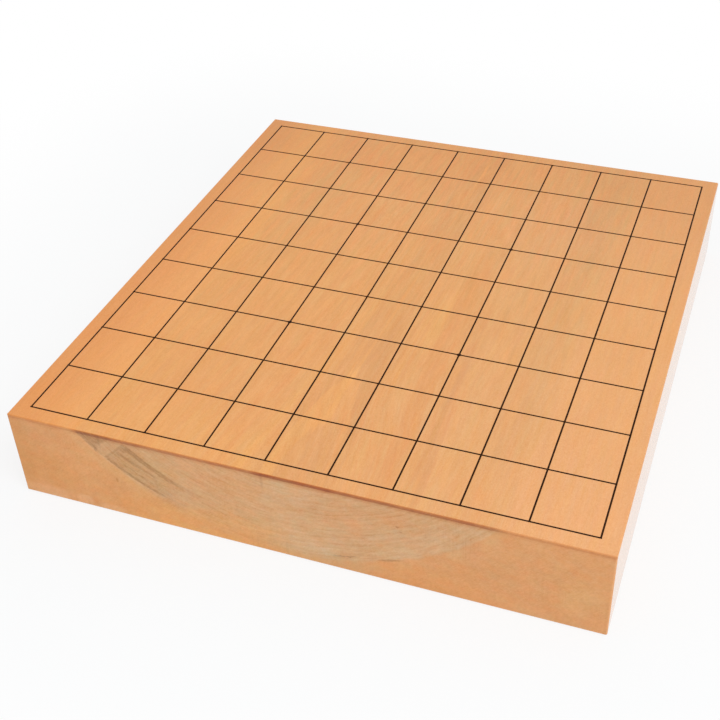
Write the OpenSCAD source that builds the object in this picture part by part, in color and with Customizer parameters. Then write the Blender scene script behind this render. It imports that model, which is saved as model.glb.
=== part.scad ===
// Tabletop shogi board: one solid plank with its grid drawn on the top in raised lacquer.
// Millimetres, +Z up. The origin is the centre of the underside, and the players sit at -Y and +Y.
// A file is a row of squares that runs from player to player, and a rank runs across the board.

/* [Grid] */
// Squares across the board
files = 9; // [7:1:12]
// Squares from player to player
ranks = 9; // [7:1:12]
// Width of a square, from line centre to line centre
square_w = 34.8; // [28:0.1:40]
// Length of a square, from line centre to line centre
square_l = 38.3; // [30:0.1:44]
// Bare wood between the outer file lines and the plank's sides
side_margin = 9.9; // [6:0.1:30]
// Bare wood between the outer rank lines and the plank's ends
end_margin = 9.65; // [6:0.05:30]
// Squares between a star point and the edge of the grid
star_inset = 3; // [1:1:4]

/* [Plank] */
// Thickness of the plank
plank_t = 57; // [20:1:120]
// Fine chamfer on the four top arrises
top_arris = 0.6; // [0.3:0.1:3]
// Fine chamfer on the four bottom arrises
bottom_arris = 1.0; // [0.3:0.1:3]
// Fine chamfer on the four upright corners
corner_arris = 0.8; // [0.3:0.1:3]

/* [Lacquer] */
// Width of a line where it meets the wood
line_w = 1.0; // [0.6:0.1:1.4]
// Height of a line above the wood
line_h = 0.16; // [0.1:0.02:0.4]
// Thickness of a rank line where it laps over a file line
lap_h = 0.08; // [0.04:0.02:0.2]
// Length of the slope on each side of a lap
lap_slope = 0.4; // [0.2:0.1:2]
// Diameter of a star point
star_d = 2.6; // [2.2:0.1:5]
// Thickness of a star point over the crossing that it marks
star_crown = 0.1; // [0.04:0.02:0.3]

/* [Hidden] */
grid_w = files * square_w;
grid_l = ranks * square_l;
plank_w = grid_w + 2 * side_margin;
plank_l = grid_l + 2 * end_margin;
lap_top = line_h + lap_h;
star_h = lap_top + star_crown;
bead_sides = 6;
star_count = 4;
$fn = 48;

// Place of file line i across the board, and of rank line i along it, both counted from 1.
function file_x(i) = (i - 1) * square_w - grid_w / 2;
function rank_y(i) = (i - 1) * square_l - grid_l / 2;

// Star points sit on the same inset from both ends: 1 and 2 near the first player, 3 and 4 far.
function star_file(i) = i % 2 == 1 ? star_inset + 1 : files + 1 - star_inset;
function star_rank(i) = i <= 2 ? star_inset + 1 : ranks + 1 - star_inset;

// A rectangle centred across and standing on the X axis, with its corners cut.
function cut_rectangle(w, h, low_cut, high_cut) = [
    [low_cut - w / 2, 0],
    [w / 2 - low_cut, 0],
    [w / 2, low_cut],
    [w / 2, h - high_cut],
    [w / 2 - high_cut, h],
    [high_cut - w / 2, h],
    [-w / 2, h - high_cut],
    [-w / 2, low_cut],
];

// Section of a lacquer bead: a low half ellipse that stands on the X axis.
function bead(w, h) = [
    for (k = [0 : bead_sides])
        let (a = 180 * k / bead_sides)
            [w / 2 * cos(a), h * sin(a)]
];

// The right half of that section, which is turned round the Z axis to make a round drop.
function half_bead(w, h) = concat([[0, 0]], [
    for (k = [0 : bead_sides / 2])
        let (a = 180 * k / bead_sides)
            [w / 2 * cos(a), h * sin(a)]
]);

// Side view of a lap: level over the line below it, with a slope down to the stroke on each side.
function lap_outline(foot) = [
    [-foot, 0],
    [foot, 0],
    [foot, line_h],
    [line_w / 2, lap_top],
    [-line_w / 2, lap_top],
    [-foot, line_h],
];

module plank() {
    color([0.89, 0.65, 0.44])
        intersection() {
            rotate([90, 0, 0])
                linear_extrude(plank_l, center = true)
                    polygon(cut_rectangle(plank_w, plank_t, bottom_arris, top_arris));
            rotate([90, 0, 90])
                linear_extrude(plank_w, center = true)
                    polygon(cut_rectangle(plank_l, plank_t, bottom_arris, top_arris));
            linear_extrude(plank_t)
                translate([0, -plank_l / 2])
                    polygon(cut_rectangle(plank_w, plank_l, corner_arris, corner_arris));
        }
}

// The files are drawn first, each in one stroke from player to player.
module file_line(i) {
    color([0.06, 0.05, 0.05])
        translate([file_x(i), 0, plank_t])
            rotate([90, 0, 0])
                linear_extrude(grid_l + line_w, center = true)
                    polygon(bead(line_w, line_h));
}

// A stroke of bead across the board, centred on the origin.
module cross_bead(length, h) {
    rotate([90, 0, 90])
        linear_extrude(length, center = true)
            polygon(bead(line_w, h));
}

// The rise of a rank line over a file line: a taller bead with a slope on each side.
module lap() {
    foot = line_w / 2 + lap_slope;
    intersection() {
        cross_bead(2 * foot, lap_top);
        rotate([90, 0, 0])
            linear_extrude(line_w, center = true)
                polygon(lap_outline(foot));
    }
}

// The ranks are drawn second, so each one laps over every file line that is there already.
module rank_line(i) {
    stroke = grid_w + line_w;
    color([0.06, 0.05, 0.05])
        difference() {
            translate([0, rank_y(i), plank_t])
                intersection() {
                    union() {
                        cross_bead(stroke, line_h);
                        for (f = [1 : files + 1])
                            translate([file_x(f), 0, 0])
                                lap();
                    }
                    translate([-stroke / 2, -line_w / 2, 0])
                        cube([stroke, line_w, lap_top]);
                }
            for (f = [1 : files + 1])
                file_line(f);
        }
}

// A star point is a low drop of lacquer let down last, over the crossing that it marks.
module star_point(i) {
    color([0.06, 0.05, 0.05])
        difference() {
            translate([file_x(star_file(i)), rank_y(star_rank(i)), plank_t])
                rotate_extrude()
                    polygon(half_bead(star_d, star_h));
            file_line(star_file(i));
            rank_line(star_rank(i));
        }
}

plank();
for (i = [1 : files + 1])
    file_line(i);
for (i = [1 : ranks + 1])
    rank_line(i);
for (i = [1 : star_count])
    star_point(i);
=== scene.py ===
# Tabletop shogi board: the looks of the imported solids, with a studio floor, lights and a camera.
# Metres, +Z up. The near player sits at -Y, the far player at +Y, and the grain runs along Y.
# The rings and the heartwood are one field in space, as in a real log, so they cut every face.
# The finer grain, and the bands, marks and stain that were placed one by one after the photograph,
# are made apart for the long faces and for the ends, and don't run through the wood.
import math

import bpy
from mathutils import Matrix, Vector


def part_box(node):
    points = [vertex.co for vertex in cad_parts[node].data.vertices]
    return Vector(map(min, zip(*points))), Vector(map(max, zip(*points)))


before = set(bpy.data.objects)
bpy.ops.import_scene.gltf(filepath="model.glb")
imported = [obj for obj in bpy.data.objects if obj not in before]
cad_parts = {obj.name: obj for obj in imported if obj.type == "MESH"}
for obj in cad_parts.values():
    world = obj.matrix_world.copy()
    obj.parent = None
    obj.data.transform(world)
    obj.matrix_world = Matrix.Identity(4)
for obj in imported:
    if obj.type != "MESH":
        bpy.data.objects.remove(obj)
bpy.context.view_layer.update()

MM = 0.001

# The plank, read from the frame, in millimetres
plank_low, plank_high = (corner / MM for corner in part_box("plank"))
FRONT = plank_low.y
LEFT = plank_low.x
TOP = plank_high.z
HALF_WIDTH = (plank_high.x - plank_low.x) / 2
HALF_LENGTH = (plank_high.y - plank_low.y) / 2

# Camera at the photograph's viewing angle, in millimetres and degrees
CAMERA_PLACE = (201.4, -576.0, 476.2)
CAMERA_TURN = 20.71
CAMERA_DIP = 38.06
CAMERA_TILT = -1.84
CAMERA_LENS = 60.04
CAMERA_SHIFT = -0.0306

# The log that the plank was cut from, in millimetres. Its pith lies above the plank.
PITH_OFFSET = -6.0
PITH_DRIFT = 0.03
PITH_ABOVE_TOP = 97.6
RING_WIDTH = 3.4
RING_WOBBLE = 0.2

# How far to the right a ring's middle lies for each millimetre that it is smaller than the
# heartwood
ECCENTRICITY = 0.1

# Outer radius of the heartwood below the pith, how much it grows for each millimetre beside the
# pith, and the softness of its edge: where it is sharp, and what is added where it fades
HEART_RADIUS = 150.3
HEART_SWELL_LEFT = 0.025
HEART_SWELL_RIGHT = 0.012
HEART_EDGE = 1.6
HEART_FADE = 3.5

# Beside the pith the rings close in by this much for each millimetre toward the far end, and the
# streaks follow them instead of running straight: how far beside it each of the two begins and
# is full
RING_SPREAD = 0.015
CLOSING_IN = (15.0, 35.0)
FOLLOWING = (8.0, 26.0)

# Where a band's fall and the grain's lean are counted from, along the plank
PIVOT = 100

# The grain near the middle of the near end leans to the left as it goes away: from, to and fade
# across the board, where the lean ends and where it is full along it, and how much it leans
LEAN_ACROSS = (150, 215, 20)
LEAN_ALONG = (110, 40)
LEAN = 0.14

# The streaks are stronger in the middle of the board: from, to, fade, and by how much
MIDDLE_STREAKS = (110, 225, 25)
MIDDLE_BOOST = 0.3

# The pith rises or falls in slow steps along the plank: from, to, rise
PITH_STEPS = (
    (10, 112, 1.62),
    (250, 350, -0.25),
)

# Painted shade: the long faces grow deeper toward the far end: from, to, tint
FAR_PAINTED_SHADE = (
    (60, 200, (1.003, 1.01, 0.945)),
    (40, 360, (0.975, 0.91, 0.81)),
    (270, 350, (0.97, 0.925, 0.80)),
)

# Rings at the middle of the top, by depth below the near top edge: from, to, softness, tint.
# A pale ring that shows as a V, and a dark ring round it.
MIDDLE_RINGS = (
    (0.46, 1.42, 0.06, (1.033, 1.022, 0.967)),
    (1.42, 2.25, 0.10, (0.963, 0.955, 0.953)),
)

# Bands that follow the rings, by the same depth, counted below 0 on the left: from, to, softness,
# how much both fall for each millimetre toward the far end, the stretch that shows the band as
# start, stop and fade, and the tint
RING_BANDS = (
    (-0.46, 0.46, 0.12, 0, -60, 47, 6, (0.96, 0.955, 0.985)),
    (-0.46, 0.46, 0.12, 0, 47, 350, 6, (1.033, 1.02, 0.975)),
    (0.46, 1.42, 0.12, 0, -60, 47, 8, (0.98, 0.957, 0.99)),
    (0.46, 1.42, 0.12, 0, 47, 92, 8, (1.0, 0.985, 1.0)),
    (0.46, 1.22, 0.10, 0, -60, 45, 8, (0.955, 0.98, 1.03)),
    (-1.42, -0.3, 0.12, 0, -60, 44, 8, (0.98, 0.995, 0.99)),
    (-1.42, -0.2, 0.12, 0, 48, 94, 8, (1.007, 1.012, 1.0)),
    (1.4, 2.4, 0.2, 0, 44, 135, 12, (0.965, 0.955, 0.945)),
    (2.2, 2.9, 0.2, 0, -60, 120, 20, (0.965, 0.94, 0.92)),
    (4.0, 5.0, 0.3, 0, 75, 165, 25, (1.02, 1.03, 0.96)),
    (9.2, 13.7, 0.4, 0, -60, 235, 40, (0.985, 0.93, 0.885)),
    (15.6, 18.2, 0.7, 0.026, 10, 165, 25, (0.975, 0.945, 0.915)),
    (18.0, 20.6, 0.4, 0.026, 0, 150, 25, (0.965, 0.935, 0.95)),
    (18.0, 19.5, 0.6, -0.006, 5, 165, 20, (0.97, 0.963, 0.957)),
    (22.5, 30.0, 2.5, 0, -60, 110, 60, (1.01, 1.025, 1.04)),
    (31.9, 32.8, 0.5, 0, 90, 240, 30, (0.97, 0.95, 0.95)),
    (37.5, 50.0, 2.0, 0, 45, 330, 25, (0.965, 0.955, 0.95)),
    (44.0, 59.0, 3.0, 0, 60, 420, 80, (0.985, 1.01, 1.04)),
    (-4.2, -2.6, 0.5, -0.008, -60, 150, 30, (1.02, 1.03, 0.975)),
    (-10.6, -6.8, 0.9, 0, -60, 130, 40, (1.005, 0.965, 0.94)),
    (-54.0, -46.0, 2.5, 0, 15, 110, 35, (1.0, 1.015, 0.975)),
    (-56.0, -49.0, 2.5, 0, 115, 165, 20, (0.97, 0.98, 0.95)),
    (-50.0, -34.0, 4.0, 0, 215, 345, 50, (0.97, 1.0, 1.015)),
    (-62.0, -54.0, 3.0, 0, 160, 330, 40, (1.01, 1.015, 0.95)),
)

# Cloudy marks on the long faces: place from the left and from the front, half size, softness, tint
LONG_MARKS = (
    ((105, 4), (55, 28), 0.7, (1.03, 1.05, 1.045)),
    ((312, 12), (50, 48), 0.7, (1.015, 1.025, 1.08)),
    ((198, 148), (4, 30), 0.6, (1.02, 1.04, 0.97)),
    ((206, 184), (5, 18), 0.6, (0.99, 0.97, 0.93)),
    ((28, 200), (18, 80), 0.7, (1.0, 0.99, 1.02)),
    ((98, 255), (40, 60), 0.7, (1.0, 1.005, 1.04)),
    ((240, 265), (26, 55), 0.7, (1.0, 1.0, 1.05)),
    ((170.5, 292), (6, 10), 0.6, (1.02, 1.025, 0.965)),
    ((22, 348), (26, 26), 0.7, (0.965, 0.975, 0.955)),
    ((184, 346), (40, 24), 0.7, (0.997, 0.975, 0.925)),
)

# Where the heartwood fades into yellow at the foot of the near end, in millimetres from the left
# and above the underside
BLUSH_PLACE = (120, 0)
BLUSH_SIZE = (46, 17)
BLUSH_STRENGTH = 0.85

# Where the plane chattered on the end, in the same terms
CHATTER_PLACE = (252, 47)
CHATTER_SIZE = (15, 12)

# Cloudy marks, seams and pits on the near end: place, half width and half height, softness, tint
END_MARKS = (
    ((190, 44), (26, 12), 0.6, (1.02, 0.975, 0.95)),
    ((130, 36), (30, 14), 0.6, (1.03, 0.997, 0.95)),
    ((122, 48), (25, 10), 0.6, (1.045, 1.01, 0.99)),
    ((167, 51), (17, 9), 0.6, (1.025, 1.10, 1.20)),
    ((167, 22), (26, 12), 0.6, (1.04, 1.09, 1.15)),
    ((136, 17), (26, 8), 0.6, (1.04, 1.03, 0.96)),
    ((202, 34), (6, 6), 0.7, (1.04, 0.95, 0.88)),
    ((224, 46), (7, 5), 0.7, (1.04, 0.95, 0.88)),
    ((225, 22), (12, 5), 0.6, (1.02, 1.06, 1.1)),
    ((318, 22), (11, 12), 0.5, (0.99, 1.06, 1.07)),
    ((280, 23), (8, 3), 0.6, (0.96, 0.99, 1.02)),
    ((262, 36), (9, 9), 0.6, (0.97, 0.98, 1.02)),
    ((270, 49), (6, 6), 0.6, (1.01, 1.09, 1.17)),
    ((255, 32), (4, 5), 0.6, (1.01, 1.07, 1.12)),
    ((304, 3), (25, 2.4), 0.5, (1.0, 1.045, 1.09)),
    ((182, 6.5), (30, 5), 0.5, (0.94, 1.05, 1.15)),
    ((245, 2), (38, 3.5), 0.5, (1.02, 0.985, 0.92)),
    ((106, 1.5), (46, 4), 0.5, (1.05, 1.05, 0.96)),
    ((19, 22), (19, 13), 0.6, (0.98, 0.925, 0.775)),
    ((4, 30), (6, 30), 0.6, (0.95, 0.92, 0.80)),
    ((23, 40), (24, 17), 0.7, (1.0, 0.98, 0.985)),
    ((82, 38), (18, 13), 0.5, (1.0, 1.01, 0.94)),
    ((14, 51), (28, 6), 0.6, (0.99, 0.985, 1.01)),
    ((45, 33), (16, 16), 0.6, (1.04, 1.05, 1.07)),
    ((84, 11), (26, 8), 0.7, (1.05, 1.035, 0.935)),
    ((244, 9), (30, 7), 0.7, (1.03, 1.005, 0.93)),
    ((16, 4.5), (15, 4.2), 0.35, (1.07, 1.15, 1.42)),
    ((39, 4.5), (5.5, 3.6), 0.4, (1.07, 1.15, 1.42)),
    ((57, 3), (8, 2.4), 0.4, (1.06, 1.14, 1.38)),
    ((45.5, 5), (1.8, 3), 0.5, (0.97, 0.90, 0.82)),
    ((56.5, 53), (0.6, 5), 0.5, (0.88, 0.88, 0.88)),
    ((53.3, 46), (0.9, 1.3), 0.5, (0.80, 0.78, 0.78)),
    ((151, 52), (0.8, 5), 0.6, (0.88, 0.86, 0.86)),
    ((162, 5), (0.8, 8), 0.6, (0.94, 0.96, 0.97)),
    ((63, 26.3), (0.8, 1.5), 0.5, (0.84, 0.74, 0.58)),
    ((224, 41.8), (0.9, 0.6), 0.5, (0.80, 0.70, 0.64)),
    ((226, 38.6), (0.9, 0.5), 0.5, (0.84, 0.76, 0.70)),
)

# Dark bands of the stain and the dark dashes: radius at the first angle, how much it falls for
# each degree, width, softness, strength, and both angles with the softness of that end
STAIN_BANDS = (
    (144.0, 0.0, 13.0, 1.5, 0.36, (-42.0, 0.3), (-27, 8)),
    (145.0, 0.0, 14.0, 0.8, 0.75, (-42.3, 0.2), (-41.6, 0.25)),
    (145.0, 0.0, 17.0, 1.0, 0.12, (-46.0, 0.4), (-42.4, 0.4)),
    (137.6, 0.0, 4.6, 0.8, 1.0, (-42.4, 0.3), (-40.2, 0.7)),
    (136.0, 0.0, 3.2, 1.0, 1.15, (-41.5, 0.3), (-26, 8)),
    (142.7, 0.27, 2.3, 1.0, 1.0, (-41.7, 0.3), (-31, 6)),
    (151.4, 0.18, 2.0, 0.8, 1.1, (-41.6, 0.3), (-28, 6)),
    (147.0, 0.2, 1.4, 0.6, 0.75, (-40.0, 2.0), (-28, 6)),
    (151.2, 0.0, 2.4, 0.9, 1.0, (-52.0, 0.4), (-44.6, 0.4)),
    (147.8, 0.0, 1.1, 0.4, 0.95, (10.9, 0.9), (16.0, 0.9)),
    (149.9, -0.3, 1.3, 0.5, 0.75, (20.8, 0.9), (25.2, 0.9)),
    (133.6, 0.0, 0.9, 0.5, 0.35, (11.5, 1.0), (16.5, 1.5)),
)

# A pale rim outside the stain, and pale stripes within it, in the same terms
PALE_BANDS = (
    (154.2, 0.18, 1.5, 0.6, 0.7, (-47.0, 1.0), (-29, 6)),
    (139.3, 0.0, 1.8, 0.7, 0.8, (-41.0, 1.0), (-31, 5)),
    (149.3, 0.18, 1.4, 0.6, 0.45, (-40.0, 1.0), (-31, 5)),
)

# How dark the line along the near end's upper arris is: from, to, softness, amount
DARK_ARRIS_PARTS = (
    (42, 82, 4, 0.50),
    (82, 146, 6, 0.36),
    (146, 190, 5, 1.02),
    (190, 274, 6, 0.66),
)
DARK_ARRIS_PLAIN = 0.28

# That line by depth below the top: where it ends and where it is full, for its core and for its
# weak tail. The last pair is the same for how far it reaches round the arris onto the top.
DARK_ARRIS_CORE = (2.5, 1.5)
DARK_ARRIS_TAIL = (4.4, 2.0)
DARK_ARRIS_TAIL_SHARE = 0.3
DARK_ARRIS_REACH = (0.8, 0.2)

# The line is weaker right at the arris: from, to, share
DARK_ARRIS_EASED = (0.7, 0.1, 0.25)

# What one share of that dark line lets through of red, green and blue
DARK_ARRIS_FILTER = (0.60, 0.34, 0.20)

# Shares of red, green and blue in a change that looks equal in all three on this wood,
# in one toward pink, and in one toward yellow
NEUTRAL = (0.56, 1.0, 1.7)
WARM = (0.5, -0.4, -0.9)
YELLOW = (0.1, 0.05, -1.0)

# White, and as a tint one that changes nothing
WHITE = (1.0, 1.0, 1.0, 1.0)

# Keeps the noises of one material apart
SEED_STEP = 13.7

# How much of the near end's marks the far end shows
FAR_MARKS = 0.25

# The floor's own white, as a share of what is seen of it: beside the board, and all of it
# from this far away, in metres
GLOW_NEAR = 0.8
WHITE_FROM = 0.3

# The floor, the surroundings as light, and the soft box: its place and size in metres, and watts
FLOOR_HALF = 20.0
FLOOR_COLOUR = (0.81, 0.84, 0.86, 1.0)
SURROUNDINGS = 0.62
KEY_PLACE = (0.9, -0.9, 1.6)
KEY_SIZE = 1.2
KEY_POWER = 22

# Rounding of the plank's arrises in millimetres, its facets, the least angle in degrees that it
# takes for an arris, and how close two corners are to be joined
ARRIS_RADIUS = 0.2
ARRIS_SEGMENTS = 3
ARRIS_ANGLE = 20
WELD_GAP = 0.001

# Numbers of the colour sockets on Blender's mix node
MIX_A = 6
MIX_B = 7
MIX_RESULT = 2


def srgb(red, green, blue):
    """A linear colour from display values of 0 to 255."""
    out = []
    for value in (red, green, blue):
        level = value / 255
        out.append(level / 12.92 if level <= 0.04045 else ((level + 0.055) / 1.055) ** 2.4)
    return (*out, 1.0)


class Graph:
    """Short calls that build shader nodes. Any input may be a socket, a number or a tuple."""

    def __init__(self, owner):
        owner.use_nodes = True
        self.tree = owner.node_tree
        self.tree.nodes.clear()

    def node(self, kind, inputs=None, **settings):
        made = self.tree.nodes.new(kind)
        for name, value in settings.items():
            setattr(made, name, value)
        for name, value in (inputs or {}).items():
            self.feed(value, made.inputs[name])
        return made

    def feed(self, value, socket):
        if isinstance(value, bpy.types.NodeSocket):
            self.tree.links.new(value, socket)
        else:
            socket.default_value = value

    def math(self, operation, a, b=0.0, c=0.0):
        return self.node("ShaderNodeMath", {0: a, 1: b, 2: c}, operation=operation).outputs[0]

    def add(self, first, *others):
        for other in others:
            first = self.math("ADD", first, other)
        return first

    def less(self, a, b):
        return self.math("SUBTRACT", a, b)

    def times(self, first, *others):
        for other in others:
            first = self.math("MULTIPLY", first, other)
        return first

    def over(self, a, b):
        return self.math("DIVIDE", a, b)

    def step(self, value, low, high):
        """0 on the low side, 1 on the high side, smooth between. Low may be the larger one."""
        made = self.node(
            "ShaderNodeMapRange",
            {"Value": value, "From Min": low, "From Max": high},
            interpolation_type="SMOOTHSTEP",
        )
        return made.outputs["Result"]

    def band(self, value, low, high, edge):
        """1 from low to high, with soft edges."""
        rise = self.step(value, low - edge, low + edge)
        fall = self.step(value, high + edge, high - edge)
        return self.times(rise, fall)

    def vector(self, x, y, z):
        return self.node("ShaderNodeCombineXYZ", {0: x, 1: y, 2: z}).outputs[0]

    def spread(self, point, place, size):
        """Distance of a point from a place in the same plane, counted in its half size."""
        shrink = (1.0 / size[0], 1.0 / size[1], 0.0)
        move = (-place[0] / size[0], -place[1] / size[1], 0.0)
        inputs = {0: point, 1: shrink, 2: move}
        gap = self.node("ShaderNodeVectorMath", inputs, operation="MULTIPLY_ADD").outputs["Vector"]
        return self.node("ShaderNodeVectorMath", {0: gap}, operation="LENGTH").outputs["Value"]

    def scaled(self, point, scale, move=0.0):
        """A point with each axis scaled, and moved by the same amount along all three."""
        inputs = {"Vector": point, "Scale": scale, "Location": (move, move, move)}
        return self.node("ShaderNodeMapping", inputs).outputs["Vector"]

    def ripple(self, point, grain, seed=0, detail=2.0):
        """Signed smooth noise of about -1 to 1. Grain is the size of its spots along each axis."""
        spot = self.scaled(point, [1.0 / size for size in grain], seed * SEED_STEP)
        inputs = {"Vector": spot, "Scale": 1.0, "Detail": detail, "Roughness": 0.5}
        noise = self.node("ShaderNodeTexNoise", inputs).outputs["Fac"]
        return self.math("MULTIPLY_ADD", noise, 3.0, -1.5)

    def noises(self, *layers):
        """The sum of noises: point, grain, seed and strength of each, and what else limits it."""
        parts = []
        for point, grain, seed, *shares in layers:
            parts.append(self.times(self.ripple(point, grain, seed), *shares))
        return self.add(*parts)

    def weighted(self, *pairs):
        """The sum of some values, each times its weight."""
        return self.add(*(self.times(value, weight) for value, weight in pairs))

    def blend(self, factor, a, b, mode="MIX"):
        made = self.node("ShaderNodeMix", {0: factor}, data_type="RGBA", blend_type=mode)
        self.feed(a, made.inputs[MIX_A])
        self.feed(b, made.inputs[MIX_B])
        return made.outputs[MIX_RESULT]

    def blend_numbers(self, factor, a, b):
        return self.add(a, self.times(self.less(b, a), factor))

    def tinted(self, colour, factor, tint):
        """The colour times a tint, a factor for each of red, green and blue."""
        return self.blend(factor, colour, (*tint, 1.0), "MULTIPLY")

    def varied(self, colour, changes):
        """The colour times 1 plus some amounts around 0, each with its shares of the channels."""
        parts = []
        for channel in range(3):
            part = 1.0
            for shares, amount in changes:
                part = self.math("MULTIPLY_ADD", amount, shares[channel], part)
            parts.append(part)
        change = self.node("ShaderNodeCombineColor", dict(enumerate(parts))).outputs["Color"]
        return self.blend(1.0, colour, change, "MULTIPLY")

    def dyed(self, colour, amount, dye):
        """The colour seen through some shares of dye. The dye is what one share lets through."""
        through = [self.math("POWER", passes, amount) for passes in dye]
        filtered = self.node("ShaderNodeCombineColor", dict(enumerate(through))).outputs["Color"]
        return self.blend(1.0, colour, filtered, "MULTIPLY")

    def finish(self, shader, kind="ShaderNodeOutputMaterial"):
        self.node(kind, {"Surface": shader})


class Log:
    """Where a shaded point lies in the plank and in its log, in millimetres."""

    def __init__(self, g):
        place = g.node("ShaderNodeTexCoord").outputs["Object"]
        self.point = g.scaled(place, (1 / MM, 1 / MM, 1 / MM))
        self.ragged = g.times(g.ripple(self.point, (9, 30, 7), seed=25, detail=3.0), 0.25)
        self.x, self.y, self.z = g.node("ShaderNodeSeparateXYZ", {0: self.point}).outputs
        self.across = g.less(self.x, LEFT)
        self.along = g.less(self.y, FRONT)
        self.from_above = g.vector(self.across, self.along, 0.0)
        self.from_end = g.vector(self.across, self.z, 0.0)
        normal = g.node("ShaderNodeNewGeometry").outputs["Normal"]
        facing_y = g.node("ShaderNodeSeparateXYZ", {0: normal}).outputs[1]
        self.end = g.step(g.math("ABSOLUTE", facing_y), 0.6, 0.8)
        self.near_end = g.step(facing_y, -0.3, -0.5)
        self.set_rings(g)
        self.set_edge(g)

    def set_rings(self, g):
        """Distance from the pith, and the angle round it: 0 straight down, below 0 on the left."""
        climb = 0.0
        for start, stop, rise in PITH_STEPS:
            climb = g.add(climb, g.times(g.step(self.along, start, stop), rise))
        pith_x = g.math("MULTIPLY_ADD", self.along, PITH_DRIFT, PITH_OFFSET)
        side = g.less(self.x, pith_x)
        drop = g.less(g.add(climb, TOP + PITH_ABOVE_TOP), self.z)
        round_radius = g.math("SQRT", g.add(g.times(side, side), g.times(drop, drop)))
        side = g.less(side, g.times(g.less(HEART_RADIUS, round_radius), ECCENTRICITY))
        radius = g.math("SQRT", g.add(g.times(side, side), g.times(drop, drop)))
        wobble = g.ripple(self.point, (45, 150, 45), seed=1, detail=1.0)
        self.radius = g.math("MULTIPLY_ADD", wobble, RING_WOBBLE, radius)
        self.angle = g.math("DEGREES", g.math("ARCTAN2", side, drop))
        self.arc = g.times(self.angle, math.pi / 180 * HEART_RADIUS)
        self.right = g.step(side, -4.0, 4.0)
        aside = g.math("ABSOLUTE", side)
        swell = g.blend_numbers(self.right, HEART_SWELL_LEFT, HEART_SWELL_RIGHT)
        self.heart_radius = g.add(HEART_RADIUS, g.times(aside, swell))
        # Beside the middle the rings close in a little faster toward the far end
        closing = g.times(self.along, g.step(aside, *CLOSING_IN), RING_SPREAD)
        self.ring = g.add(self.radius, closing)
        # Where this ring would cut the near top edge, measured from the middle of the figure
        square = g.less(g.times(self.ring, self.ring), PITH_ABOVE_TOP ** 2)
        crossing = g.math("SQRT", g.math("MAXIMUM", square, 0.0))
        leaning = g.times(g.band(self.across, *LEAN_ACROSS), g.step(self.along, *LEAN_ALONG))
        self.lean = g.times(leaning, g.less(self.along, PIVOT), LEAN)
        # Over the pith the streaks run straight, and beside it they follow the rings
        bent = g.times(g.less(crossing, aside), g.step(aside, *FOLLOWING))
        turned = g.times(bent, g.less(g.times(self.right, 2.0), 1.0))
        # Points that count along the rings and across them, for figure that follows them
        self.shell = g.vector(g.add(side, turned, self.lean), self.y, self.x)
        self.bowl = g.vector(self.arc, self.radius, self.y)
        self.year = g.vector(self.ring, self.angle, self.y)

    def set_edge(self, g):
        """How far the point is from the nearest arris: the middle one of its three distances."""
        gap_x = g.less(HALF_WIDTH, g.math("ABSOLUTE", self.x))
        gap_y = g.less(HALF_LENGTH, g.math("ABSOLUTE", self.y))
        self.from_end_face = gap_y
        gap_z = g.math("MINIMUM", self.z, g.less(TOP, self.z))
        nearest = g.math("MINIMUM", gap_x, g.math("MINIMUM", gap_y, gap_z))
        farthest = g.math("MAXIMUM", gap_x, g.math("MAXIMUM", gap_y, gap_z))
        self.edge = g.less(g.add(gap_x, gap_y, gap_z), g.add(nearest, farthest))


def long_base(g, log, heart):
    """Long-face sapwood and heartwood, deeper at the left, with a painted sheen on the right and
    painted shade far off.
    """
    # Painted sheen: the colours grow paler toward the right, and painted shade deepens them toward
    # the far end
    to_right = g.step(log.across, 40, 270)
    far = g.step(log.along, 120, 340)
    sap = g.blend(g.step(log.across, 0, 45), srgb(227, 149, 79), srgb(235, 162, 91))
    sap = g.blend(to_right, sap, srgb(229, 165, 106))
    sap = g.tinted(sap, g.times(far, g.less(1.0, to_right)), (0.985, 1.035, 1.0))
    heartwood = g.blend(to_right, srgb(229, 160, 92), srgb(226, 164, 104))
    colour = g.blend(heart, sap, heartwood)
    for start, stop, tint in FAR_PAINTED_SHADE:
        colour = g.tinted(colour, g.step(log.along, start, stop), tint)
    # Painted shade at the far right corner of the long faces
    far_right_painted_shade = g.times(g.step(log.across, 200, 310), g.step(log.along, 180, 360))
    return g.tinted(colour, far_right_painted_shade, (0.955, 0.94, 0.93))


def ring_figure(g, log, colour):
    """The V of the middle rings, the bands along the others and the marks, on the long faces."""
    depth = g.less(log.ring, PITH_ABOVE_TOP)
    ragged = g.times(g.ripple(log.point, (2.0, 16, 30), seed=2), 0.13)
    middle = g.add(depth, ragged)
    for low, high, edge, tint in MIDDLE_RINGS:
        colour = g.tinted(colour, g.band(middle, low, high, edge), tint)
    lane = g.times(depth, g.less(g.times(log.right, 2.0), 1.0))
    spread = g.step(g.math("ABSOLUTE", lane), 3.0, 9.0)
    lane = g.add(lane, g.times(ragged, g.add(1.0, g.times(spread, 3.0))))
    along = g.add(log.along, g.times(g.ripple(log.point, (5, 60, 5), seed=3), 22.0))
    behind = g.less(log.along, PIVOT)
    for low, high, edge, drop, start, stop, fade, tint in RING_BANDS:
        level = g.math("MULTIPLY_ADD", behind, drop, lane)
        inside = g.times(g.band(level, low, high, edge), g.band(along, start, stop, fade))
        colour = g.tinted(colour, inside, tint)
    for place, size, edge, tint in LONG_MARKS:
        colour = g.tinted(colour, oval(g, log, log.from_above, place, size, edge), tint)
    return colour


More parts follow.
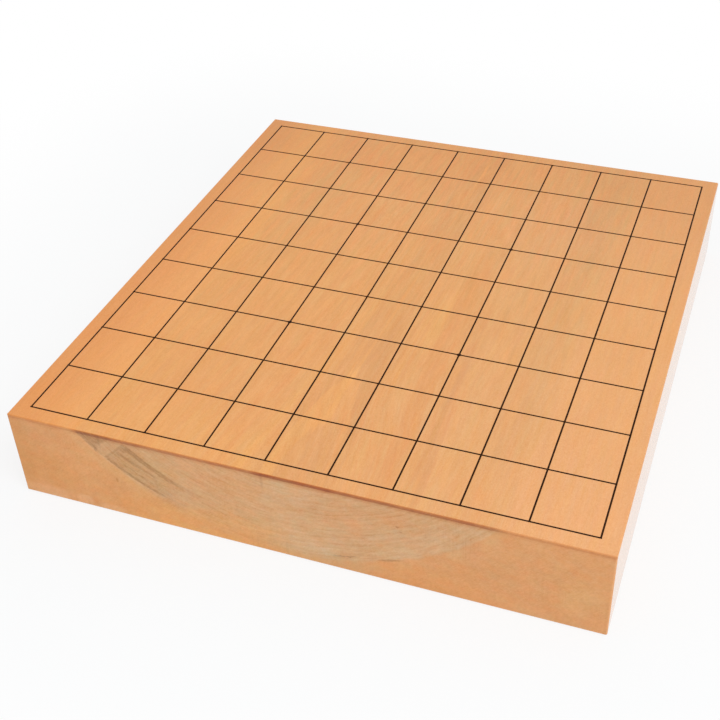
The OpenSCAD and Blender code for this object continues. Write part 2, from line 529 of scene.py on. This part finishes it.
def long_grain(g, log, heart, late):
    """Colour of the top, the underside and the long sides, with a height for its relief."""
    colour = ring_figure(g, log, long_base(g, log, heart))
    sway = g.times(g.ripple(log.point, (50, 60, 50), seed=9, detail=1.0), 4.5)
    fibres = g.vector(g.add(log.x, sway, log.lean), log.y, log.z)
    fibre = g.ripple(fibres, (0.6, 3.2, 0.6), seed=10)
    hair = g.ripple(fibres, (0.3, 0.9, 0.3), seed=11)
    pores = g.ripple(fibres, (0.65, 1.2, 0.65), seed=36)
    fleck = g.step(g.ripple(fibres, (0.3, 2.2, 0.3), seed=12, detail=1.0), 0.5, 0.9)
    in_heart = g.add(0.65, g.times(heart, 0.35))
    middle = g.add(1.0, g.times(g.band(log.across, *MIDDLE_STREAKS), MIDDLE_BOOST))
    far = g.add(1.0, g.step(log.along, 120, 320))
    level = g.add(
        g.noises(
            (log.shell, (3.0, 30, 40), 4, 0.07, in_heart, middle),
            (log.shell, (1.1, 12, 30), 5, 0.055, in_heart, middle),
            (log.point, (22, 40, 22), 6, 0.035),
            (fibres, (1.6, 3.5, 1.6), 32, 0.04),
        ),
        g.weighted((late, -0.03), (fibre, 0.05), (hair, 0.08), (pores, 0.10), (fleck, -0.035)),
    )
    warmth = g.noises(
        (log.shell, (5.0, 30, 40), 7, 0.06, in_heart, far),
        (log.shell, (1.8, 16, 30), 37, 0.038, in_heart, far),
        (log.point, (2.4, 8, 2.4), 8, 0.03),
    )
    yellow = g.noises(
        (log.shell, (3.6, 30, 40), 38, 0.085),
        (log.point, (1.4, 5, 1.4), 39, 0.04),
    )
    relief = g.weighted((fibre, 0.4), (hair, 0.3), (pores, 0.3), (fleck, -0.6))
    return g.varied(colour, ((NEUTRAL, level), (WARM, warmth), (YELLOW, yellow))), relief


def late_wood(g, log):
    """The thin darker line that closes each year's ring, clear in places and lost in others."""
    slow = g.ripple(log.year, (2.6, 60, 500), seed=13)
    part = g.math("FRACT", g.math("MULTIPLY_ADD", log.ring, 1.0 / RING_WIDTH, g.times(slow, 0.4)))
    line = g.times(g.step(part, 0.6, 0.93), g.step(part, 1.0, 0.95))
    return g.times(line, g.step(g.ripple(log.year, (6, 14, 120), seed=14), -0.3, 0.6))


def end_base(g, log, heart):
    """Sapwood, the pale rim where it turns, and the grey heartwood, on the two ends."""
    beyond = g.less(log.radius, log.heart_radius)
    to_right = g.step(log.across, 30, 300)
    sap = g.blend(to_right, srgb(221, 155, 93), srgb(218, 154, 97))
    colour = g.blend(heart, sap, srgb(212, 161, 111))
    rim = g.times(g.band(beyond, -17.0, -1.5, 3.0), log.right)
    colour = g.tinted(colour, rim, (1.01, 1.03, 1.075))
    turn = g.times(g.band(beyond, 0.0, 6.0, 2.8), g.step(log.z, 12.0, 24.0))
    turn = g.times(turn, g.less(1.0, g.times(log.right, 0.8)))
    colour = g.tinted(colour, turn, (1.01, 1.095, 1.18))
    cloud = g.ripple(log.bowl, (13, 6, 60), seed=15)
    less_left = g.times(g.less(1.0, g.step(log.across, 110, 170)), 0.4)
    grey = g.times(heart, g.step(g.less(cloud, less_left), -0.2, 0.6))
    colour = g.tinted(colour, grey, (0.985, 1.02, 1.08))
    pink = g.times(heart, g.step(cloud, -0.05, -0.7))
    return g.tinted(colour, pink, (1.015, 0.975, 0.94))


def end_marks(g, log):
    """The marks and the stain of the near end as one tint. The far end shows a quarter of them."""
    tint = WHITE
    for place, size, edge, mark in END_MARKS:
        tint = g.tinted(tint, oval(g, log, log.from_end, place, size, edge), mark)
    return g.blend(g.math("MAXIMUM", log.near_end, FAR_MARKS), WHITE, end_stain(g, log, tint))


def end_grain(g, log, heart, late):
    """Colour of the two ends, with the bowl of the heartwood and its rings, and a height."""
    marks = end_marks(g, log)
    foot = oval(g, log, log.from_end, BLUSH_PLACE, BLUSH_SIZE, 0.55)
    blush = g.times(foot, log.near_end, BLUSH_STRENGTH)
    colour = g.blend(blush, end_base(g, log, heart), srgb(223, 158, 94))
    colour = g.blend(1.0, colour, marks, "MULTIPLY")
    dashes = g.ripple(log.bowl, (15, 1.7, 60), seed=16)
    short = g.ripple(log.bowl, (6.0, 0.9, 60), seed=35)
    ray = g.ripple(log.bowl, (0.5, 9, 6), seed=17)
    cuts = g.times(
        g.ripple(log.point, (0.55, 60, 26), seed=18),
        g.step(g.ripple(log.point, (30, 60, 24), seed=19), -0.2, 0.6),
    )
    shaken = oval(g, log, log.from_end, CHATTER_PLACE, CHATTER_SIZE, 0.6)
    chatter = g.times(g.ripple(log.point, (0.5, 60, 26), seed=43), shaken)
    pores = g.ripple(log.point, (0.5, 2.0, 0.5), seed=20)
    spots = g.ripple(log.point, (1.3, 8, 1.1), seed=21, detail=3.0)
    sawn = g.vector(g.less(log.x, log.z), log.y, g.add(log.x, log.z))
    cloud = g.ripple(log.point, (24, 60, 14), seed=33, detail=1.0)
    mottle = g.ripple(log.point, (2.6, 60, 2.2), seed=40, detail=3.0)
    in_heart = g.add(g.times(heart, 0.85), 0.15)
    patches = g.less(0.07, g.times(heart, 0.03))
    level = g.add(
        g.times(g.weighted((dashes, 0.12), (short, 0.085), (late, -0.11)), in_heart),
        g.weighted((ray, 0.035), (cuts, 0.07), (chatter, 0.10), (pores, 0.065), (spots, 0.085)),
        g.noises((sawn, (0.9, 60, 3.6), 22, 0.085), (log.point, (4.4, 60, 3.4), 41, patches)),
        g.times(cloud, 0.06),
    )
    warmth = g.noises(
        (log.point, (8, 60, 6), 23, 0.10),
        (log.bowl, (8.0, 2.0, 60), 24, 0.05, in_heart),
    )
    yellow = g.add(g.times(mottle, 0.06), g.noises((log.point, (6, 60, 5), 42, 0.06)))
    relief = g.weighted((pores, 0.6), (ray, 0.3), (cuts, 0.6), (short, 0.2))
    return g.varied(colour, ((NEUTRAL, level), (WARM, warmth), (YELLOW, yellow))), relief


def oval(g, log, point, place, size, edge):
    """1 inside an oval with a ragged edge."""
    away = g.add(g.spread(point, place, size), log.ragged)
    return g.step(away, 1.0 + edge, 1.0 - edge)


def ring_marks(g, radius, angle, bands):
    """The strongest of several arcs that follow the rings of the end."""
    strongest = 0.0
    for start, drop, wide, edge, strength, (first, rise), (last, fall) in bands:
        level = g.add(radius, g.times(g.less(angle, first), drop))
        inside = g.band(level, start - wide / 2, start + wide / 2, edge)
        appears = g.step(angle, first - rise, first + rise)
        fades = g.step(angle, last + fall, last - fall)
        strongest = g.math("MAXIMUM", strongest, g.times(inside, appears, fades, strength))
    return strongest


def end_stain(g, log, tint):
    """Dark bands on the left of the bowl, cut off sharply by a pale ray, and dashes on the right."""
    radius = g.add(log.radius, g.times(g.ripple(log.point, (2.5, 30, 1.6), seed=26), 0.6))
    angle = g.add(log.angle, g.times(g.ripple(log.point, (2, 30, 2), seed=34), 0.12))
    wedge = g.times(g.band(angle, -52.0, -45.0, 0.5), g.step(log.z, TOP - 15, TOP - 8), 0.85)
    wedge = g.times(wedge, g.step(g.less(log.radius, log.heart_radius), 0.6, -0.6))
    stain = g.math("MAXIMUM", ring_marks(g, radius, angle, STAIN_BANDS), wedge)
    pale = ring_marks(g, radius, angle, PALE_BANDS)
    patchy = g.add(0.8, g.times(g.ripple(log.bowl, (3.5, 1.3, 30), seed=27), 0.55))
    tint = g.tinted(tint, g.times(stain, patchy), (0.68, 0.63, 0.54))
    return g.tinted(tint, g.times(pale, patchy), (1.06, 1.12, 1.24))


def dark_arris_line(g, log, heart):
    """How dark a brown line runs along the ends' upper arris, most of it at the heartwood."""
    near = 0.0
    for start, stop, edge, amount in DARK_ARRIS_PARTS:
        near = g.add(near, g.times(g.band(log.across, start, stop, edge), amount))
    amount = g.add(DARK_ARRIS_PLAIN, g.blend_numbers(log.near_end, g.times(heart, 0.5), near))
    patchy = g.add(1.0, g.times(g.ripple(log.point, (9, 60, 2), seed=28), 0.25))
    depth = g.less(TOP, log.z)
    core = g.step(depth, *DARK_ARRIS_CORE)
    tail = g.times(g.step(depth, *DARK_ARRIS_TAIL), DARK_ARRIS_TAIL_SHARE)
    low, high, share = DARK_ARRIS_EASED
    kept = g.less(1.0, g.times(g.step(depth, low, high), share))
    line = g.times(g.math("MAXIMUM", core, tail), kept, g.step(log.from_end_face, *DARK_ARRIS_REACH))
    return g.times(line, amount, patchy)


def wood():
    """Planed and waxed katsura."""
    material = bpy.data.materials.new("katsura wood")
    g = Graph(material)
    log = Log(g)
    frayed = g.ripple(log.point, (6, 90, 6), seed=29)
    beyond = g.add(g.less(log.radius, log.heart_radius), frayed)
    # The heartwood fades out at the foot of the ends and far along the top
    at_foot = g.times(g.band(log.angle, -30, 8, 6), log.end, HEART_FADE)
    far_along = g.times(g.step(log.along, 90, 220), g.less(1.0, log.end), HEART_FADE)
    heart = g.step(g.over(beyond, g.add(HEART_EDGE, at_foot, far_along)), 1.0, -1.0)
    late = late_wood(g, log)
    long_colour, long_relief = long_grain(g, log, heart, late)
    end_colour, end_relief = end_grain(g, log, heart, late)
    colour = g.blend(log.end, long_colour, end_colour)
    relief = g.add(g.times(long_relief, g.less(1.0, log.end)), g.times(end_relief, log.end, 1.6))
    worn = g.step(g.add(log.edge, g.times(g.ripple(log.point, (4, 9, 4), seed=30), 0.3)), 0.9, 0.1)
    colour = g.blend(g.times(worn, 0.2), colour, srgb(196, 128, 76))
    # A dark brown line along the ends' upper arris
    colour = g.dyed(colour, dark_arris_line(g, log, heart), DARK_ARRIS_FILTER)
    patches = g.ripple(log.point, (18, 40, 18), seed=31)
    roughness = g.add(0.46, g.times(patches, 0.03), g.times(relief, 0.02), g.times(log.end, 0.1))
    bump = g.node("ShaderNodeBump", {"Strength": 0.35, "Distance": 0.03 * MM, "Height": relief})
    surface = g.node(
        "ShaderNodeBsdfPrincipled",
        {
            "Base Color": colour,
            "Roughness": roughness,
            "IOR": 1.35,
            "Specular IOR Level": 0.25,
            "Coat Weight": 1.0,
            "Coat Roughness": 0.06,
            "Coat IOR": 1.3,
            "Normal": bump.outputs["Normal"],
        },
    )
    g.finish(surface.outputs["BSDF"])
    return material


def lacquer():
    """Black lacquer, drawn with a fine tool and cured to a soft gloss."""
    material = bpy.data.materials.new("black lacquer")
    g = Graph(material)
    point = g.scaled(g.node("ShaderNodeTexCoord").outputs["Object"], (1 / MM, 1 / MM, 1 / MM))
    ripple = g.ripple(point, (1.6, 1.6, 1.6))
    grit = g.ripple(point, (0.3, 0.3, 0.3))
    cloud = g.ripple(point, (25, 25, 25))
    colour = g.blend(g.step(cloud, -0.8, 0.8), srgb(40, 20, 6), srgb(56, 30, 10))
    roughness = g.add(0.45, g.times(cloud, 0.05), g.times(grit, 0.04))
    height = g.add(ripple, g.times(grit, 0.3))
    bump = g.node("ShaderNodeBump", {"Strength": 0.3, "Distance": 0.04 * MM, "Height": height})
    surface = g.node(
        "ShaderNodeBsdfPrincipled",
        {
            "Base Color": colour,
            "Roughness": roughness,
            "IOR": 1.4,
            "Specular IOR Level": 0.06,
            "Normal": bump.outputs["Normal"],
        },
    )
    g.finish(surface.outputs["BSDF"])
    return material


def soften(piece):
    """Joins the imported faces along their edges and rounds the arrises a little."""
    weld = piece.modifiers.new("join faces", "WELD")
    weld.merge_threshold = WELD_GAP * MM
    rounding = piece.modifiers.new("soft arris", "BEVEL")
    rounding.width = ARRIS_RADIUS * MM
    rounding.segments = ARRIS_SEGMENTS
    rounding.limit_method = "ANGLE"
    rounding.angle_limit = math.radians(ARRIS_ANGLE)


def dress():
    """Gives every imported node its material."""
    plank_material = wood()
    line_material = lacquer()
    for name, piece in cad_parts.items():
        piece.material_slots[0].material = plank_material if name == "plank" else line_material
    soften(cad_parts["plank"])


def make_camera():
    """Looks at the board from the photograph's place."""
    turn = math.radians(CAMERA_TURN)
    dip = math.radians(CAMERA_DIP)
    ahead = Vector((-math.sin(turn) * math.cos(dip), math.cos(turn) * math.cos(dip), -math.sin(dip)))
    level_right = Vector((math.cos(turn), math.sin(turn), 0))
    up = level_right.cross(ahead)
    tilt = Matrix.Rotation(-math.radians(CAMERA_TILT), 3, ahead)
    right = tilt @ level_right
    up = tilt @ up
    data = bpy.data.cameras.new("camera")
    data.lens = CAMERA_LENS
    data.shift_x = CAMERA_SHIFT
    data.clip_start = 0.01
    data.clip_end = 100.0
    camera = bpy.data.objects.new("camera", data)
    bpy.context.scene.collection.objects.link(camera)
    camera.matrix_world = Matrix((
        (right.x, up.x, -ahead.x, CAMERA_PLACE[0] * MM),
        (right.y, up.y, -ahead.y, CAMERA_PLACE[1] * MM),
        (right.z, up.z, -ahead.z, CAMERA_PLACE[2] * MM),
        (0, 0, 0, 1),
    ))
    bpy.context.scene.camera = camera


def seen_directly(g):
    """1 for what the camera sees itself or in a reflection, and 0 for light that falls on things."""
    path = g.node("ShaderNodeLightPath").outputs
    seen = g.math("MAXIMUM", path["Is Camera Ray"], path["Is Glossy Ray"])
    return g.math("MAXIMUM", seen, path["Is Transmission Ray"])


def make_floor():
    """A wide pale floor that shows white and keeps a soft shadow."""
    mesh = bpy.data.meshes.new("floor")
    signs = ((-1, -1), (1, -1), (1, 1), (-1, 1))
    corners = [(across * FLOOR_HALF, along * FLOOR_HALF, 0) for across, along in signs]
    mesh.from_pydata(corners, [], [(0, 1, 2, 3)])
    floor = bpy.data.objects.new("floor", mesh)
    bpy.context.scene.collection.objects.link(floor)
    material = bpy.data.materials.new("pale floor")
    g = Graph(material)
    place = g.node("ShaderNodeTexCoord").outputs["Object"]
    parts = g.node("ShaderNodeSeparateXYZ", {0: place}).outputs
    beyond = []
    for part, half_size in zip(parts[:2], (HALF_WIDTH, HALF_LENGTH)):
        gap = g.less(g.math("ABSOLUTE", part), half_size * MM)
        beyond.append(g.math("MAXIMUM", gap, 0.0))
    away = g.math("SQRT", g.add(g.times(beyond[0], beyond[0]), g.times(beyond[1], beyond[1])))
    matt = g.node("ShaderNodeBsdfDiffuse", {"Color": FLOOR_COLOUR}).outputs[0]
    glow = g.node("ShaderNodeEmission", {"Color": WHITE, "Strength": 1.0}).outputs[0]
    share = g.add(GLOW_NEAR, g.times(g.step(away, 0.0, WHITE_FROM), 1.0 - GLOW_NEAR))
    share = g.times(seen_directly(g), share)
    g.finish(g.node("ShaderNodeMixShader", {0: share, 1: matt, 2: glow}).outputs[0])
    mesh.materials.append(material)


def make_world():
    """Soft white surroundings: white where they are seen, and dimmer as light."""
    world = bpy.data.worlds.new("studio")
    bpy.context.scene.world = world
    g = Graph(world)
    soft = g.node("ShaderNodeBackground", {"Color": WHITE, "Strength": SURROUNDINGS}).outputs[0]
    white = g.node("ShaderNodeBackground", {"Color": WHITE, "Strength": 1.0}).outputs[0]
    both = g.node("ShaderNodeMixShader", {0: seen_directly(g), 1: soft, 2: white}).outputs[0]
    g.finish(both, "ShaderNodeOutputWorld")


def make_lamp(name, place, size, power):
    """A square soft box in metres and watts, turned to the board."""
    data = bpy.data.lights.new(name, "AREA")
    data.size = size
    data.energy = power
    lamp = bpy.data.objects.new(name, data)
    bpy.context.scene.collection.objects.link(lamp)
    lamp.location = place
    lamp.rotation_mode = "QUATERNION"
    lamp.rotation_quaternion = (-Vector(place)).to_track_quat("-Z", "Y")


make_camera()
make_floor()
make_world()
make_lamp("key light", KEY_PLACE, KEY_SIZE, KEY_POWER)
dress()

bpy.context.scene.view_settings.view_transform = "Standard"
